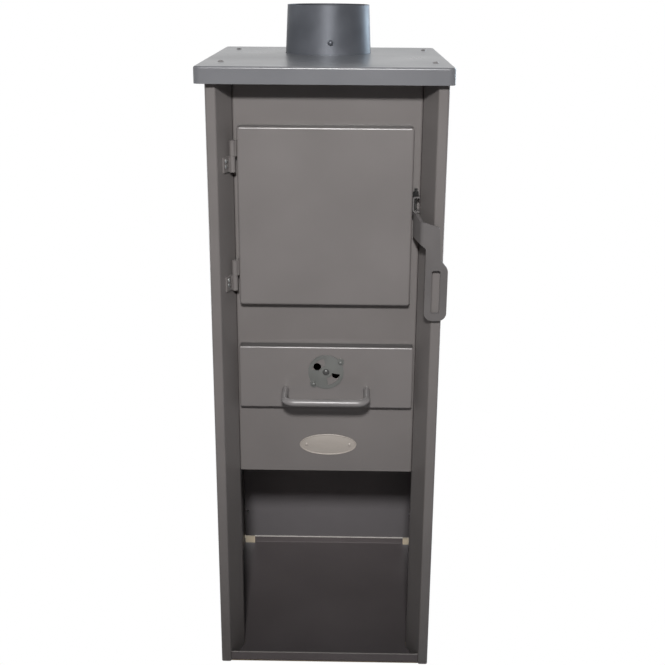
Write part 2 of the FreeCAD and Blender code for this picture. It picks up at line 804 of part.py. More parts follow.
def door_gasket():
    """A round rope laid in a closed loop behind the door's rim."""
    y = liner_front + liner_sheet + gasket_radius
    points = upright_rectangle(door_left + gasket_from_edge, door_right - gasket_from_edge,
                               door_bottom + gasket_from_edge, door_top - gasket_from_edge, y)
    path = rounded_wire(points, [gasket_corner] * len(points))
    start = (points[-1] + points[0]) / 2
    ring = Part.Wire(Part.makeCircle(gasket_radius, start, upward))
    return path.makePipeShell([ring], True, False)


# Hinges

post_edge = Vector(post_width - half_width, front, 0)
return_run = (Vector(-inner_half, panel_front, 0) - post_edge).normalize()
return_normal = Vector(return_run.y, -return_run.x, 0)
hinge_axis = Vector(hinge_x, hinge_y, 0)
hinge_foot = (hinge_axis - post_edge).dot(return_run)


def on_return(run, height_off, z):
    """A point beside the left return: along it from the post, off its face, and at a height."""
    return post_edge + return_run * run + return_normal * height_off + upward * z


def hinge_screw_seats():
    run = hinge_foot - hinge_screw_from_axis
    heights = []
    for split in hinge_splits:
        heights += [split - hinge_screw_drop, split - hinge_screw_drop - hinge_screw_spacing]
    return [on_return(run, weld_gap + hinge_leaf_sheet, z) for z in heights]


def hinge_leaf(path, bottom, bore_radius):
    """A rolled knuckle on the axis with its leaf, which ends in the knuckle."""
    leaf = folded_sheet(path, -hinge_leaf_sheet, hinge_leaf_bend, upward * knuckle_height)
    knuckle = rod(hinge_axis + upward * bottom, upward, knuckle_radius, knuckle_height)
    bore = rod(hinge_axis + upward * (bottom - overrun), upward, bore_radius, knuckle_height + 2 * overrun)
    return leaf.fuse(knuckle).removeSplitter().cut(bore)


def hinge_body_leaf(split):
    bottom = split - knuckle_height
    bend_run = hinge_foot + hinge_leaf_sheet / 2
    path = [on_return(hinge_foot - hinge_leaf_on_body, weld_gap, bottom),
            on_return(bend_run, weld_gap, bottom),
            hinge_axis + return_run * (hinge_leaf_sheet / 2) + upward * bottom]
    leaf = hinge_leaf(path, bottom, hinge_pin_radius + weld_gap)
    return leaf.cut(screw_holes(hinge_screw_seats(), return_normal, hinge_screw_shank, hinge_screw_length))


def hinge_door_leaf(split):
    bottom = split + sliding_clearance
    web_y = hinge_y - hinge_leaf_sheet / 2
    beside_door = door_left - weld_gap
    path = [Vector(beside_door, hinge_y + hinge_leaf_on_door, bottom), Vector(beside_door, web_y, bottom),
            Vector(hinge_x, web_y, bottom)]
    return hinge_leaf(path, bottom, hinge_pin_radius + running_clearance)


def hinge_pin(split):
    bottom = split - knuckle_height
    return rod(hinge_axis + upward * bottom, upward, hinge_pin_radius, knuckle_height + hinge_pin_in_door)


def hinge_screws():
    return Part.makeCompound([
        domed_screw(seat, return_normal, hinge_screw_radius, hinge_screw_head,
                    hinge_screw_shank, hinge_screw_length) for seat in hinge_screw_seats()])


# Latch

def latch_bracket():
    near = door_right + weld_gap
    far = near + latch_bracket_reach
    first_y = latch_y - latch_bracket_depth / 2
    section = [Vector(far, first_y, latch_bracket_top), Vector(near, first_y, latch_bracket_top),
               Vector(near, first_y, latch_bracket_bottom), Vector(far, first_y, latch_bracket_bottom)]
    strap = folded_sheet(section, -latch_bracket_sheet, latch_bracket_bend, rearward * latch_bracket_depth)
    hole = rod(Vector(latch_x, latch_y, latch_bracket_bottom - overrun), upward,
               latch_bolt_radius + weld_gap, latch_bracket_top - latch_bracket_bottom + 2 * overrun)
    return strap.cut(hole)


def latch_bolt():
    head_top = tab_bottom - sliding_clearance
    head = hexagon(Vector(latch_x, latch_y, head_top - latch_head_height), latch_nut_flats, latch_head_height)
    shank = rod(Vector(latch_x, latch_y, head_top), upward, latch_bolt_radius,
                latch_bracket_top + latch_bolt_end - head_top)
    return head.fuse(shank)


def latch_nut():
    seat = Vector(latch_x, latch_y, latch_bracket_top + weld_gap)
    hole = rod(seat - upward * overrun, upward, latch_bolt_radius + weld_gap, latch_nut_height + 2 * overrun)
    return hexagon(seat, latch_nut_flats, latch_nut_height).cut(hole)


def lever_outline(y):
    """Front view of the lever, with the radius of each corner."""
    left = lever_bend_x - lever_web_lean - overrun
    corners = [
        (left, tab_top, lever_edge_corner),
        (lever_bend_x, tab_top, lever_edge_corner),
        (lever_bend_x + lever_plate, lever_neck_top, lever_edge_corner),
        (lever_arm_outer, lever_neck_end, lever_neck_corner),
        (lever_arm_heel, lever_loop_shoulder + lever_shoulder_rise, lever_neck_corner),
        (lever_loop_outer, lever_loop_shoulder, lever_loop_corner),
        (lever_loop_outer, lever_bottom, lever_loop_corner),
        (lever_arm_inner, lever_bottom, lever_loop_corner),
        (lever_arm_inner, lever_neck_bottom - lever_neck_slope, lever_neck_corner),
        (lever_bend_x, lever_neck_bottom, lever_edge_corner),
        (left, lever_neck_bottom + lever_neck_slope, lever_edge_corner),
    ]
    return rounded_wire([Vector(x, y, z) for x, z, radius in corners], [radius for x, z, radius in corners])


def lever_plan(points, bottom, height):
    return plain_face([Vector(x, y, bottom) for x, y in points]).extrude(upward * height)


def latch_lever():
    web_rear = latch_y - lever_web_rear_gap
    web_left = lever_bend_x - lever_web_lean
    path = [Vector(lever_loop_outer + overrun, lever_face, lever_bottom),
            Vector(lever_bend_x, lever_face, lever_bottom), Vector(web_left, web_rear, lever_bottom)]
    bent = folded_sheet(path, -lever_plate, lever_bend, upward * (tab_top - lever_bottom))
    outline = Part.Face(lever_outline(lever_face - overrun))
    plate = bent.common(outline.extrude(rearward * (latch_y - lever_face + overrun)))
    slope = [Vector(web_left, lever_face, lever_neck_top),
             Vector(web_left, lever_face + lever_plate, lever_neck_top),
             Vector(web_left, web_rear - lever_tab_run, tab_top), Vector(web_left, lever_face, tab_top)]
    plate = plate.cut(plain_face(slope).extrude(right * (lever_arm_outer - web_left)))
    plate = plate.cut(window(
        lever_arm_inner + lever_slot_stile, lever_loop_outer - lever_slot_rim,
        lever_bottom + lever_slot_sill, lever_loop_shoulder - lever_slot_drop,
        lever_slot_corner, lever_face - overrun, lever_face + lever_plate + overrun))
    tab_end = web_rear - lever_tab_run
    lean = lever_web_lean * lever_tab_run / (web_rear - lever_face)
    tab = lever_plan([(latch_x, latch_y + lever_tab_radius), (web_left + lever_plate, web_rear),
                      (web_left + lever_plate + lean, tab_end), (web_left + lean, tab_end),
                      (latch_x, latch_y - lever_tab_radius)], tab_bottom, lever_tab)
    eye = rod(Vector(latch_x, latch_y, tab_bottom), upward, lever_tab_radius, lever_tab)
    nose_left = door_right + nose_gap
    barb_front = panel_back + nose_barb_gap
    barb_back = barb_front + nose_barb_length
    nose = lever_plan([(nose_left, latch_y), (nose_left + nose_width, latch_y),
                       (nose_left + nose_width, barb_back), (nose_left - nose_barb, barb_back),
                       (nose_left - nose_barb, barb_front), (nose_left, barb_front)], tab_bottom, lever_tab)
    bore = rod(Vector(latch_x, latch_y, tab_bottom - overrun), upward,
               latch_bolt_radius + running_clearance, lever_tab + 2 * overrun)
    return plate.fuse([tab, eye, nose]).removeSplitter().cut(bore)


# Ash drawer

def handle_places():
    return [Vector(side * handle_spacing / 2, drawer_face, handle_z) for side in (-1, 1)]


def handle_screw_reach():
    return ash_pan_sheet + weld_gap + drawer_sheet + handle_screw_depth


def handle_screw_seats():
    return [place + rearward * (ash_pan_front + ash_pan_sheet - drawer_face) for place in handle_places()]


def handle_screw_holes():
    return screw_holes(handle_screw_seats(), rearward, handle_screw_radius, handle_screw_reach() + weld_gap)


def about_disc(radius, angle, y):
    """A point at a radius and an angle about the disc's axis, seen from the front."""
    turn = math.radians(angle)
    return Vector(radius * math.cos(turn), y, disc_z + radius * math.sin(turn))


def disc_window(middle_angle, first_y, last_y):
    """A window in the disc: part of a ring, extruded along Y."""
    start = middle_angle - disc_window_half
    end = middle_angle + disc_window_half
    outer = [about_disc(disc_window_outer, angle, first_y) for angle in (start, middle_angle, end)]
    inner = [about_disc(disc_window_inner, angle, first_y) for angle in (end, middle_angle, start)]
    edges = [Part.Arc(*outer).toShape(), Part.makeLine(outer[-1], inner[0]),
             Part.Arc(*inner).toShape(), Part.makeLine(inner[-1], outer[0])]
    return Part.Face(Part.Wire(edges)).extrude(rearward * (last_y - first_y))


def disc_peg_seats():
    y = disc_back - disc_sheet - weld_gap
    return [about_disc(disc_peg_circle, angle, y) for angle in disc_peg_angles]


def drawer_front():
    shell = pan(drawer_width, drawer_height, drawer_proud - drawer_panel_gap,
                drawer_sheet, drawer_corner, drawer_bend)
    shell = facing_front(shell, Vector(0, drawer_rear, drawer_bottom + drawer_height / 2))
    first_y = drawer_face - overrun
    last_y = drawer_face + drawer_sheet + overrun
    rivet_hole = rod(Vector(0, first_y, disc_z), rearward, disc_rivet_radius + weld_gap, last_y - first_y)
    air_holes = [rod(about_disc(air_hole_circle, angle, first_y), rearward, air_hole_radius, last_y - first_y)
                 for angle in air_hole_angles]
    return shell.cut(air_holes + [rivet_hole] + handle_screw_holes())


def ash_pan_trough():
    """The ash pan's bottom and sides, in one folded sheet."""
    half = ash_pan_width / 2
    low = Vector(-half, ash_pan_front, ash_pan_bottom)
    high = Vector(half, ash_pan_front + ash_pan_depth, ash_pan_top)
    inside = slab(low + Vector(ash_pan_sheet, -overrun, ash_pan_sheet),
                  high + Vector(-ash_pan_sheet, overrun, overrun))
    return slab(low, high).cut(inside)


def ash_pan_end(first_y):
    """A plate between the ash pan's sides."""
    half = ash_pan_width / 2 - ash_pan_sheet - weld_gap
    return slab(Vector(-half, first_y, ash_pan_bottom + ash_pan_sheet + weld_gap),
                Vector(half, first_y + ash_pan_sheet, ash_pan_top))


def ash_pan_front_wall():
    half = ash_pan_dip_width / 2
    dip = slab(Vector(-half, ash_pan_front - overrun, ash_pan_top - ash_pan_dip),
               Vector(half, ash_pan_front + ash_pan_sheet + overrun, ash_pan_top + overrun))
    return ash_pan_end(ash_pan_front).cut([dip] + handle_screw_holes())


def ash_pan_rear_wall():
    return ash_pan_end(ash_pan_front + ash_pan_depth - ash_pan_sheet)


def drawer_handle():
    ends = [place - rearward * weld_gap for place in handle_places()]
    bar = [place - rearward * handle_leg for place in handle_places()]
    points = [ends[0], bar[0], bar[1], ends[1]]
    path = Part.Wire(rounded_edges(points, [handle_bend_radius] * (len(points) - 2)))
    ring = Part.Wire(Part.makeCircle(handle_rod_radius, ends[0], rearward))
    return path.makePipeShell([ring], True, False).cut(handle_screw_holes())


def handle_screws():
    return Part.makeCompound([
        domed_screw(seat, rearward, handle_screw_head_radius, handle_screw_head,
                    handle_screw_radius, handle_screw_reach()) for seat in handle_screw_seats()])


def air_disc():
    disc_front = disc_back - disc_sheet
    disc = rod(Vector(0, disc_front, disc_z), rearward, disc_radius, disc_sheet)
    ears = [rod(about_disc(disc_peg_circle, angle, disc_front), rearward, disc_ear_radius, disc_sheet)
            for angle in disc_peg_angles]
    windows = [disc_window(disc_window_angle + turn, disc_front - overrun, disc_back + overrun)
               for turn in (0, 180)]
    hole = rod(Vector(0, disc_front - overrun, disc_z), rearward, disc_rivet_radius + running_clearance,
               disc_sheet + 2 * overrun)
    peg_holes = screw_holes(disc_peg_seats(), -rearward, disc_peg_shank, disc_sheet + overrun)
    return disc.fuse(ears).removeSplitter().cut(windows + [hole] + peg_holes)


def air_disc_pegs():
    return Part.makeCompound([
        domed_screw(seat, -rearward, disc_peg_radius, disc_peg_height, disc_peg_shank,
                    disc_sheet + weld_gap) for seat in disc_peg_seats()])


def air_disc_rivet():
    seat = Vector(0, disc_back - disc_sheet - sliding_clearance, disc_z)
    length = disc_sheet + 2 * sliding_clearance + drawer_sheet + disc_rivet_tail
    return domed_screw(seat, -rearward, disc_rivet_head_radius, disc_rivet_head, disc_rivet_radius, length)


# Nameplate

def nameplate_rivet_seats():
    y = panel_front - weld_gap - nameplate_sheet + nameplate_recess
    return [Vector(nameplate_centre + side * nameplate_rivet_spacing / 2, y, nameplate_height)
            for side in (-1, 1)]


def oval(length, width, first_y, last_y):
    middle = Vector(nameplate_centre, first_y, nameplate_height)
    curve = Part.Ellipse(middle + right * (length / 2), middle + upward * (width / 2), middle)
    return Part.Face(Part.Wire(curve.toShape())).extrude(rearward * (last_y - first_y))


def nameplate():
    last_y = panel_front - weld_gap
    first_y = last_y - nameplate_sheet
    plate = oval(nameplate_length, nameplate_width, first_y, last_y)
    recess = oval(nameplate_length - 2 * nameplate_rim, nameplate_width - 2 * nameplate_rim,
                  first_y - overrun, first_y + nameplate_recess)
    holes = screw_holes(nameplate_rivet_seats(), -rearward, nameplate_rivet_shank, nameplate_rivet_length)
    return plate.cut([recess] + holes)


def nameplate_rivets():
    return Part.makeCompound([
        domed_screw(seat, -rearward, nameplate_rivet_radius, nameplate_rivet_head,
                    nameplate_rivet_shank, nameplate_rivet_length) for seat in nameplate_rivet_seats()])


nodes = {
    "side_panel_left": side_panel_left(),
    "side_panel_right": side_panel_right(),
    "back_panel": back_panel(),
    "back_panel_screws": casing_screws(back_screw_seats(), rearward),
    "top_plate": top_plate(),
    "top_plate_screws": casing_screws(top_screw_seats(), upward),
    "upper_front_panel": upper_front_panel(),
    "lower_front_panel": lower_front_panel(),
    "floor_plate": floor_plate(),
    "store_ceiling": store_ceiling(),
    "flue_collar": flue_collar(),
    "collar_screw": collar_screw(),
    "firebox_shell": firebox_shell(),
    "firebox_top": firebox_top(),
    "ash_chamber_floor": ash_chamber_floor(),
    "drawer_runner_left": mirrored(drawer_runner_right()),
    "drawer_runner_right": drawer_runner_right(),
    "grate_frame": grate_frame(),
    "grate": grate(),
    "firebrick_left_front": mirrored(side_brick(0)),
    "firebrick_left_rear": mirrored(side_brick(1)),
    "firebrick_right_front": side_brick(0),
    "firebrick_right_rear": side_brick(1),
    "firebrick_rear": firebrick_rear(),
    "baffle_support_left": mirrored(baffle_support_right()),
    "baffle_support_right": baffle_support_right(),
    "baffle_plate": baffle_plate(),
    "upper_hinge_body_leaf": hinge_body_leaf(upper_hinge_split),
    "lower_hinge_body_leaf": hinge_body_leaf(lower_hinge_split),
    "upper_hinge_pin": hinge_pin(upper_hinge_split),
    "lower_hinge_pin": hinge_pin(lower_hinge_split),
    "hinge_screws": hinge_screws(),
    "nameplate": nameplate(),
    "nameplate_rivets": nameplate_rivets(),
    "door_pan": door_pan(),
    "door_liner": door_liner(),
    "door_gasket": door_gasket(),
    "upper_hinge_door_leaf": hinge_door_leaf(upper_hinge_split),
    "lower_hinge_door_leaf": hinge_door_leaf(lower_hinge_split),
    "latch_bracket": latch_bracket(),
    "latch_bolt": latch_bolt(),
    "latch_nut": latch_nut(),
    "latch_lever": latch_lever(),
    "drawer_front": drawer_front(),
    "ash_pan_trough": ash_pan_trough(),
    "ash_pan_front_wall": ash_pan_front_wall(),
    "ash_pan_rear_wall": ash_pan_rear_wall(),
    "drawer_handle": drawer_handle(),
    "handle_screws": handle_screws(),
    "air_disc_rivet": air_disc_rivet(),
    "air_disc": air_disc(),
    "air_disc_pegs": air_disc_pegs(),
}

os.makedirs("parts", exist_ok=True)
for name, shape in nodes.items():
    shape.translate(right * -outline_middle)
    shape.exportStep("parts/" + name + ".step")
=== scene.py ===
import math

import bpy
from mathutils import Matrix, Vector


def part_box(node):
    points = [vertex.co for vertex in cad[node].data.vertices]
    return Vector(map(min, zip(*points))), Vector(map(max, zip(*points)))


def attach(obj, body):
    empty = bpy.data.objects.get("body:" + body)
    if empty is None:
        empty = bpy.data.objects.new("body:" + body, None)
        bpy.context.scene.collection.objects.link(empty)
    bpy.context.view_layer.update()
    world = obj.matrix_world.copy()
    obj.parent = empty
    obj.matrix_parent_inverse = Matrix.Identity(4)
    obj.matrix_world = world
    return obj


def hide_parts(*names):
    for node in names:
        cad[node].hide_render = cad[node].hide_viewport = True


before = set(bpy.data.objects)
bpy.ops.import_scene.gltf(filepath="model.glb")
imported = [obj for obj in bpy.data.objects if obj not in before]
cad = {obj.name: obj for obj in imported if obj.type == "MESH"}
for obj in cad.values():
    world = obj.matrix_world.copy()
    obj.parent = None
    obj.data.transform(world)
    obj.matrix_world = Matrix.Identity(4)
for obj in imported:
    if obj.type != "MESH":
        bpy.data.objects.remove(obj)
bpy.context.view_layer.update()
scene = bpy.context.scene


# Shader nodes. Lengths are in metres throughout.

noise_span = (0.3, 0.7)  # the part of a noise's range that its blends use
cloud_detail = 5
grain_detail = 3


def arithmetic(tree, operation, first, second=0):
    """One or two values put together, each a socket or a number."""
    node = tree.nodes.new("ShaderNodeMath")
    node.operation = operation
    for socket, value in zip(node.inputs, (first, second)):
        if isinstance(value, (int, float)):
            socket.default_value = value
        else:
            tree.links.new(value, socket)
    return node.outputs["Value"]


def coordinates(tree, kind):
    return tree.nodes.new("ShaderNodeTexCoord").outputs[kind]


def axes_of(tree, vector):
    node = tree.nodes.new("ShaderNodeSeparateXYZ")
    tree.links.new(vector, node.inputs["Vector"])
    return node.outputs


def noise(tree, place, scale, detail, stretch=(1, 1, 1)):
    mapping = tree.nodes.new("ShaderNodeMapping")
    mapping.inputs["Scale"].default_value = stretch
    tree.links.new(place, mapping.inputs["Vector"])
    texture = tree.nodes.new("ShaderNodeTexNoise")
    texture.inputs["Scale"].default_value = scale
    texture.inputs["Detail"].default_value = detail
    tree.links.new(mapping.outputs["Vector"], texture.inputs["Vector"])
    return texture.outputs["Fac"]


def ramp(tree, value, first, second):
    """Two colours, blended over the noise's span."""
    blend = tree.nodes.new("ShaderNodeValToRGB")
    for element, place, colour in zip(blend.color_ramp.elements, noise_span, (first, second)):
        element.position = place
        element.color = (*colour, 1)
    tree.links.new(value, blend.inputs["Fac"])
    return blend.outputs["Color"]


def map_range(tree, value, source, target=(0, 1), interpolation="LINEAR"):
    """A value carried from one span to another, and held at the ends."""
    node = tree.nodes.new("ShaderNodeMapRange")
    node.interpolation_type = interpolation
    for name, number in zip(("From Min", "From Max", "To Min", "To Max"), (*source, *target)):
        node.inputs[name].default_value = number
    tree.links.new(value, node.inputs["Value"])
    return node.outputs["Result"]


def colour_mix(tree, share, first, second):
    """A colour from a socket where the share is 0, and a fixed colour where it is 1."""
    mix = tree.nodes.new("ShaderNodeMix")
    mix.data_type = "RGBA"
    tree.links.new(share, mix.inputs["Factor"])
    tree.links.new(first, mix.inputs["A"])
    mix.inputs["B"].default_value = (*second, 1)
    return mix.outputs["Result"]


def white_where(tree, share, shader_output, output):
    """Shows plain white where the share is 1, and the shader elsewhere."""
    glow = tree.nodes.new("ShaderNodeEmission")
    mix = tree.nodes.new("ShaderNodeMixShader")
    glow.inputs["Color"].default_value = (1, 1, 1, 1)
    glow.inputs["Strength"].default_value = 1.0
    tree.links.new(share, mix.inputs["Fac"])
    tree.links.new(shader_output, mix.inputs[1])
    tree.links.new(glow.outputs["Emission"], mix.inputs[2])
    tree.links.new(mix.outputs["Shader"], output)


# Materials

def new_material(name):
    material = bpy.data.materials.new(name)
    material.use_nodes = True
    tree = material.node_tree
    return material, tree, tree.nodes["Principled BSDF"]


def mottled(name, dark, light, roughness, metallic=0.0, specular=0.5, cloud=9, grain=900,
            relief=0.10, depth=0.0004, stretch=(1, 1, 1)):
    """A finish with clouds of two tones, a roughness that varies with them, and a fine grain."""
    material, tree, shader = new_material(name)
    place = coordinates(tree, "Object")
    clouds = noise(tree, place, cloud, cloud_detail, stretch)
    fine = noise(tree, place, grain, grain_detail, stretch)
    tree.links.new(ramp(tree, clouds, dark, light), shader.inputs["Base Color"])
    tree.links.new(map_range(tree, clouds, noise_span, roughness), shader.inputs["Roughness"])
    shader.inputs["Metallic"].default_value = metallic
    shader.inputs["Specular IOR Level"].default_value = specular
    bump = tree.nodes.new("ShaderNodeBump")
    bump.inputs["Strength"].default_value = relief
    bump.inputs["Distance"].default_value = depth
    tree.links.new(fine, bump.inputs["Height"])
    tree.links.new(bump.outputs["Normal"], shader.inputs["Normal"])
    return material


def overlay(material, kind, share_of, colour):
    """Lays a colour over the base colour by a share, worked out from the axes of a coordinate."""
    tree = material.node_tree
    base = tree.nodes["Principled BSDF"].inputs["Base Color"]
    share = share_of(tree, axes_of(tree, coordinates(tree, kind)))
    tree.links.new(colour_mix(tree, share, base.links[0].from_socket, colour), base)


def bare_edge_highlight(material, half, level, colour):
    """Shows bare metal, lightened as a painted highlight, above a level, in the half with Y less or greater
    than 0.
    """
    def share_of(tree, axes):
        above = arithmetic(tree, "GREATER_THAN", axes["Z"], level)
        return arithmetic(tree, "MULTIPLY", arithmetic(tree, half, axes["Y"]), above)
    overlay(material, "Object", share_of, colour)


def shade_upward_faces(material, upward, colour):
    """Darkens the faces that look up, over a span of the normal's Z: painted shade on the ledges."""
    def share_of(tree, axes):
        return map_range(tree, axes["Z"], upward)
    overlay(material, "Normal", share_of, colour)


def dress(material, *names):
    for name in names:
        cad[name].data.materials.clear()
        cad[name].data.materials.append(material)


# Paint of the casing, the door and the drawer

satin_paint = mottled("satin_paint", dark=(0.153, 0.142, 0.138), light=(0.173, 0.1605, 0.156),
                      roughness=(0.30, 0.38), specular=0.4)
dress(satin_paint, "side_panel_left", "side_panel_right", "upper_front_panel", "lower_front_panel",
      "upper_hinge_door_leaf", "lower_hinge_door_leaf", "upper_hinge_body_leaf", "lower_hinge_body_leaf")

rear_paint = mottled("rear_paint", dark=(0.149, 0.142, 0.147), light=(0.169, 0.160, 0.166),
                     roughness=(0.30, 0.38), specular=0.4)
dress(rear_paint, "back_panel")

store_paint = mottled("store_paint", dark=(0.128, 0.122, 0.123), light=(0.148, 0.141, 0.142),
                      roughness=(0.36, 0.46))
dress(store_paint, "store_ceiling")

ledge_paint = mottled("ledge_paint", dark=(0.155, 0.144, 0.140), light=(0.175, 0.162, 0.158),
                      roughness=(0.28, 0.34), specular=0.8)
# Painted shade: the top faces of the door and the drawer are darkened to a near-black colour.
shade_upward_faces(ledge_paint, upward=(0.80, 0.98), colour=(0.035, 0.033, 0.032))
dress(ledge_paint, "door_pan", "drawer_front")

lid_paint = mottled("lid_paint", dark=(0.142, 0.145, 0.155), light=(0.161, 0.164, 0.175),
                    roughness=(0.26, 0.34), specular=0.7)
dress(lid_paint, "top_plate")

screw_paint = mottled("screw_paint", dark=(0.21, 0.20, 0.20), light=(0.25, 0.24, 0.24),
                      roughness=(0.30, 0.40), cloud=90, depth=0.0003)
dress(screw_paint, "top_plate_screws")

collar_paint = mottled("collar_paint", dark=(0.115, 0.123, 0.140), light=(0.152, 0.161, 0.182),
                       roughness=(0.40, 0.52), metallic=0.45, cloud=25, grain=700, relief=0.12)
dress(collar_paint, "flue_collar", "collar_screw")


# Floor tray, with bare metal and a painted highlight along its upper edges

tray_low, tray_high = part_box("floor_plate")
rear_lip_top = 0.013
# The strips below are bare metal with a painted highlight: light caught on the edges is painted into their
# colour.
lip_highlight_strip = 0.0013   # height of the bare strip on the rear lip
rail_highlight_strip = 0.0006  # and on the front rail, the tray's highest part

tray_paint = mottled("tray_paint", dark=(0.130, 0.116, 0.118), light=(0.153, 0.137, 0.139),
                     roughness=(0.48, 0.58), specular=0.3)
# Painted highlight: the strips along the rear lip and the front rail are lighter than bare steel.
bare_edge_highlight(tray_paint, "GREATER_THAN", level=rear_lip_top - lip_highlight_strip, colour=(0.78, 0.75, 0.71))
bare_edge_highlight(tray_paint, "LESS_THAN", level=tray_high[2] - rail_highlight_strip, colour=(0.42, 0.40, 0.38))
dress(tray_paint, "floor_plate")


# Latch, handle and air disc

lever_paint = mottled("lever_paint", dark=(0.104, 0.098, 0.097), light=(0.122, 0.115, 0.114),
                      roughness=(0.34, 0.44), cloud=20, relief=0.12)
dress(lever_paint, "latch_lever", "latch_bracket")

# Painted highlight: the handle is the casing's paint made lighter, to stand for the light along its top.
handle_paint = mottled("handle_paint", dark=(0.190, 0.180, 0.178), light=(0.215, 0.204, 0.202),
                       roughness=(0.38, 0.46), metallic=0.1, specular=0.9, cloud=30)
dress(handle_paint, "drawer_handle")

disc_paint = mottled("disc_paint", dark=(0.118, 0.122, 0.116), light=(0.146, 0.150, 0.143),
                     roughness=(0.34, 0.46), cloud=45, relief=0.15)
dress(disc_paint, "air_disc", "air_disc_pegs")

rivet_paint = mottled("rivet_paint", dark=(0.070, 0.070, 0.069), light=(0.10, 0.10, 0.098),
                      roughness=(0.25, 0.35), metallic=0.3, cloud=90, relief=0.12, depth=0.0003)
dress(rivet_paint, "air_disc_rivet")


# Bare metal

zinc = mottled("zinc_plate", dark=(0.55, 0.55, 0.54), light=(0.75, 0.75, 0.73),
               roughness=(0.25, 0.40), metallic=1.0, cloud=120, grain=600, depth=0.0002)
dress(zinc, "back_panel_screws", "hinge_screws", "handle_screws", "upper_hinge_pin", "lower_hinge_pin")

dull_zinc = mottled("dull_zinc", dark=(0.07, 0.07, 0.07), light=(0.15, 0.15, 0.145),
                    roughness=(0.22, 0.40), metallic=0.8, cloud=150, grain=600, relief=0.15, depth=0.0002)
dress(dull_zinc, "latch_bolt", "latch_nut")

rolled_steel = mottled("rolled_steel", dark=(0.10, 0.10, 0.105), light=(0.17, 0.17, 0.175),
                       roughness=(0.40, 0.60), metallic=0.8, cloud=18, grain=500, relief=0.15)
dress(rolled_steel, "firebox_shell", "firebox_top", "ash_chamber_floor", "drawer_runner_left",
      "drawer_runner_right", "grate_frame", "baffle_support_left", "baffle_support_right", "baffle_plate",
      "door_liner", "ash_pan_trough", "ash_pan_front_wall", "ash_pan_rear_wall")

cast_iron = mottled("cast_iron", dark=(0.035, 0.035, 0.037), light=(0.06, 0.06, 0.062),
                    roughness=(0.60, 0.80), metallic=0.4, cloud=30, grain=350, relief=0.40, depth=0.0008)
dress(cast_iron, "grate")

plate_metal = mottled("plate_metal", dark=(0.34, 0.308, 0.278), light=(0.40, 0.364, 0.33),
                      roughness=(0.30, 0.40), metallic=0.1, cloud=60, grain=500, relief=0.08, depth=0.0002,
                      stretch=(0.2, 1, 1))
dress(plate_metal, "nameplate_rivets")


# Lining and rope

firebrick = mottled("firebrick", dark=(0.50, 0.41, 0.30), light=(0.66, 0.56, 0.43),
                    roughness=(0.85, 0.95), cloud=22, grain=260, relief=0.50, depth=0.0015)
dress(firebrick, "firebrick_left_front", "firebrick_left_rear", "firebrick_right_front",
      "firebrick_right_rear", "firebrick_rear")

rope = mottled("glass_fibre_rope", dark=(0.30, 0.295, 0.28), light=(0.48, 0.47, 0.44),
               roughness=(0.85, 0.95), cloud=160, grain=700, relief=0.60, depth=0.0010)
dress(rope, "door_gasket")


# Nameplate, pressed to a low dome within a rounded rim

plate_edge = 0.0006
rim_width = 0.0022
rim_rise = 0.00075
dome_rise = 0.0013
rim_steps = 8
dome_steps = 12
plate_sides = 96
crease_angle = math.radians(50)


def plate_rings():
    """Rings from the rear face to the dome: share of the oval's size, inset, height above the rear face."""
    rings = [(1.0, 0.0, 0.0), (1.0, 0.0, plate_edge)]
    for step in range(1, rim_steps + 1):
        across = step / rim_steps
        rise = rim_rise * math.sqrt(max(0.0, 1 - (2 * across - 1) ** 2))
        rings.append((1.0, rim_width * across, plate_edge + rise))
    for step in range(1, dome_steps):
        share = 1 - step / dome_steps
        rings.append((share, rim_width, plate_edge + dome_rise * (1 - share ** 2)))
    return rings


def pressed_plate(name, low, high):
    """An oval plate over the box's width and height, standing on its rear face."""
    middle = (low + high) / 2
    half_length = (high.x - low.x) / 2
    half_width = (high.z - low.z) / 2
    rings = plate_rings()
    points = []
    for share, inset, height in rings:
        for turn in range(plate_sides):
            angle = 2 * math.pi * turn / plate_sides
            points.append((middle.x + share * (half_length - inset) * math.cos(angle), high.y - height,
                           middle.z + share * (half_width - inset) * math.sin(angle)))
    points.append((middle.x, high.y - plate_edge - dome_rise, middle.z))
    faces = [tuple(range(plate_sides))]
    last = (len(rings) - 1) * plate_sides
    for start in range(0, last, plate_sides):
        for turn in range(plate_sides):
            first = start + turn
            second = start + (turn + 1) % plate_sides
            faces.append((second, first, first + plate_sides, second + plate_sides))
    for turn in range(plate_sides):
        faces.append((last + (turn + 1) % plate_sides, last + turn, len(points) - 1))
    mesh = bpy.data.meshes.new(name)
    mesh.from_pydata(points, [], faces)
    mesh.shade_smooth()
    mesh.set_sharp_from_angle(angle=crease_angle)
    mesh.validate()
    plate = bpy.data.objects.new(name, mesh)
    scene.collection.objects.link(plate)
    return plate


plate_low, plate_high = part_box("nameplate")
plate = pressed_plate("pressed_nameplate", Vector(plate_low), Vector(plate_high))
plate.data.materials.append(plate_metal)
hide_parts("nameplate")
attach(plate, "casing")


# Floor, white around the stove and cream under and close behind it

floor_size = 14
floor_drop = 0.0005  # below the stove
casing_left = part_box("side_panel_left")[0][0]
casing_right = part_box("side_panel_right")[1][0]
casing_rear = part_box("back_panel")[1][1]
casing_middle = (casing_left + casing_right) / 2
casing_half = (casing_right - casing_left) / 2
white_under_sides = 0.002  # how far the white reaches in under the side panels
white_under_rail = 0.0005  # how far it reaches in under the front rail
fade_beside = (casing_half + 0.002, casing_half + 0.040)
fade_behind = (casing_rear + 0.013, casing_rear + 0.073)
floor_roughness = 0.9
floor_cloud = 1.5
floor_cloud_detail = 2
floor_grey = (0.78, 0.78, 0.78)
floor_pale = (0.82, 0.82, 0.82)
cream = (0.57, 0.45, 0.31)


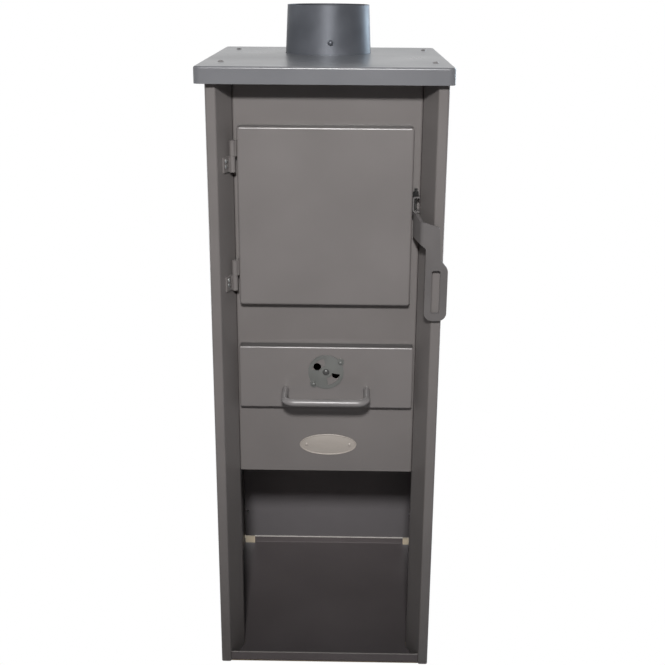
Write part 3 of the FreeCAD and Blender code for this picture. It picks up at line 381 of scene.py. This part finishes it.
def open_floor(tree, place):
    """0 under the stove, rising to 1 close behind it, and 1 elsewhere."""
    axes = axes_of(tree, place)
    across = arithmetic(tree, "ABSOLUTE", arithmetic(tree, "SUBTRACT", axes["X"], casing_middle))
    beside = arithmetic(tree, "GREATER_THAN", across, casing_half - white_under_sides)
    beside = arithmetic(tree, "MULTIPLY", beside, arithmetic(tree, "LESS_THAN", axes["Y"], casing_rear))
    before = arithmetic(tree, "LESS_THAN", axes["Y"], tray_low[1] + white_under_rail)
    share = arithmetic(tree, "MAXIMUM", beside, before)
    for value, span in ((across, fade_beside), (axes["Y"], fade_behind)):
        faded = map_range(tree, value, span, interpolation="SMOOTHSTEP")
        share = arithmetic(tree, "MAXIMUM", share, faded)
    return share


def floor_material():
    material, tree, shader = new_material("studio_floor")
    place = coordinates(tree, "Object")
    rays = tree.nodes.new("ShaderNodeLightPath")
    clouds = noise(tree, place, floor_cloud, floor_cloud_detail)
    is_open = open_floor(tree, place)
    covered = arithmetic(tree, "SUBTRACT", 1, is_open)
    colour = colour_mix(tree, covered, ramp(tree, clouds, floor_grey, floor_pale), cream)
    tree.links.new(colour, shader.inputs["Base Color"])
    shader.inputs["Roughness"].default_value = floor_roughness
    seen = arithmetic(tree, "MULTIPLY", rays.outputs["Is Camera Ray"], is_open)
    white_where(tree, seen, shader.outputs["BSDF"], tree.nodes["Material Output"].inputs["Surface"])
    return material


bpy.ops.mesh.primitive_plane_add(size=floor_size, location=(0, 0, -floor_drop))
floor = bpy.context.object
floor.name = "studio_floor"
floor.data.materials.append(floor_material())


# World, brighter at the sides and behind than in front, and white where it is seen

sky_colour = (0.95, 0.97, 1.0, 1)
sky_base = 0.02
sky_side = 0.24
sky_left = 0.06  # more on the left and less on the right
sky_rear = 0.15
backdrop_narrowing = 0.6    # towards the sides, of the white that reflections see behind the stove
backdrop_span = (0.2, 0.7)  # where that white starts and is full


def sky_strength(tree, axes):
    side = arithmetic(tree, "MULTIPLY", arithmetic(tree, "ABSOLUTE", axes["X"]), sky_side)
    side = arithmetic(tree, "SUBTRACT", side, arithmetic(tree, "MULTIPLY", axes["X"], sky_left))
    rear = arithmetic(tree, "MULTIPLY", arithmetic(tree, "MAXIMUM", axes["Y"], 0), sky_rear)
    return arithmetic(tree, "ADD", arithmetic(tree, "ADD", side, rear), sky_base)


def seen_white(tree, axes):
    """1 for rays from the camera, and for reflections of the backdrop behind the stove."""
    rays = tree.nodes.new("ShaderNodeLightPath")
    sideways = arithmetic(tree, "MULTIPLY", arithmetic(tree, "ABSOLUTE", axes["X"]), backdrop_narrowing)
    backdrop = map_range(tree, arithmetic(tree, "SUBTRACT", axes["Y"], sideways), backdrop_span)
    mirrored = arithmetic(tree, "MULTIPLY", rays.outputs["Is Glossy Ray"], backdrop)
    return arithmetic(tree, "MAXIMUM", mirrored, rays.outputs["Is Camera Ray"])


world = bpy.data.worlds.new("studio")
scene.world = world
world.use_nodes = True
sky_tree = world.node_tree
sky = sky_tree.nodes["Background"]
sky.inputs["Color"].default_value = sky_colour
sky_axes = axes_of(sky_tree, coordinates(sky_tree, "Generated"))
sky_tree.links.new(sky_strength(sky_tree, sky_axes), sky.inputs["Strength"])
white_where(sky_tree, seen_white(sky_tree, sky_axes), sky.outputs["Background"],
            sky_tree.nodes["World Output"].inputs["Surface"])


# Lights

def hang_light(data, place, target, power, colour):
    data.energy = power
    data.color = colour
    lamp = bpy.data.objects.new(data.name, data)
    scene.collection.objects.link(lamp)
    lamp.location = place
    aim = Vector(target) - Vector(place)
    lamp.rotation_euler = aim.to_track_quat("-Z", "Y").to_euler()
    return lamp


def soft_light(name, place, target, size, power, colour):
    data = bpy.data.lights.new(name, "AREA")
    data.shape = "RECTANGLE"
    data.size, data.size_y = size
    return hang_light(data, place, target, power, colour)


def key_light(name, place, target, radius, cone, power, colour):
    data = bpy.data.lights.new(name, "SPOT")
    data.shadow_soft_size = radius
    data.spot_size = math.radians(cone)
    data.spot_blend = 1.0
    return hang_light(data, place, target, power, colour)


white = (1.0, 0.99, 0.985)
cool_white = (0.97, 0.98, 1.0)
pale_blue = (0.90, 0.95, 1.0)
blue = (0.70, 0.86, 1.0)
peach = (1.0, 0.80, 0.72)

key_light("key", place=(0.0, -2.0, 1.65), target=(0, -0.15, 0.62), radius=0.09, cone=32,
          power=195, colour=white)
soft_light("overhead", place=(0.1, -0.6, 2.6), target=(0, 0, 0.7), size=(2.2, 1.6),
           power=3, colour=pale_blue)
soft_light("rim", place=(0.95, 0.95, 1.1), target=(0, 0.07, 0.89), size=(0.5, 0.8),
           power=9, colour=blue)
for name, side in (("left_fill", -1), ("right_fill", 1)):
    soft_light(name, place=(side * 1.8, 0.55, 0.19), target=(0, 0, 0.42), size=(1.2, 0.3),
               power=9, colour=cool_white)
soft_light("back_fill", place=(0, 2.0, 0.16), target=(0, 0, 0.50), size=(1.2, 0.2),
           power=6, colour=cool_white)
warm = soft_light("warm", place=(0.0, -1.9, 0.35), target=(0, -0.1, 0.3), size=(0.8, 0.5),
                  power=1.5, colour=peach)
warm.visible_glossy = False


# Camera, at the photograph's place

camera_place = (0.029423, -1.408014, 0.959002)
camera_yaw = math.radians(-0.8207)
camera_pitch = math.radians(17.2491)
camera_roll = math.radians(-0.3664)
picture_pixels = 665
focal_pixels = 1011.363
centre_pixels = (332.547, 289.447)


def aim_camera(place, yaw, pitch, roll):
    """A camera turned right by the yaw, down by the pitch and then about its own axis by the roll."""
    forward = Vector((math.sin(yaw) * math.cos(pitch), math.cos(yaw) * math.cos(pitch), -math.sin(pitch)))
    across = Vector((math.cos(yaw), -math.sin(yaw), 0))
    down = forward.cross(across)
    turned_across = across * math.cos(roll) + down * math.sin(roll)
    turned_down = down * math.cos(roll) - across * math.sin(roll)
    data = bpy.data.cameras.new("photo_camera")
    data.sensor_fit = "HORIZONTAL"
    data.sensor_width = 36.0
    data.lens = focal_pixels / picture_pixels * data.sensor_width
    data.shift_x = (picture_pixels / 2 - centre_pixels[0]) / picture_pixels
    data.shift_y = (centre_pixels[1] - picture_pixels / 2) / picture_pixels
    data.clip_end = 50
    camera = bpy.data.objects.new("photo_camera", data)
    scene.collection.objects.link(camera)
    axes = Matrix((turned_across, -turned_down, -forward)).transposed()
    camera.matrix_world = Matrix.Translation(Vector(place)) @ axes.to_4x4()
    return camera


scene.camera = aim_camera(camera_place, camera_yaw, camera_pitch, camera_roll)
scene.view_settings.view_transform = "Standard"
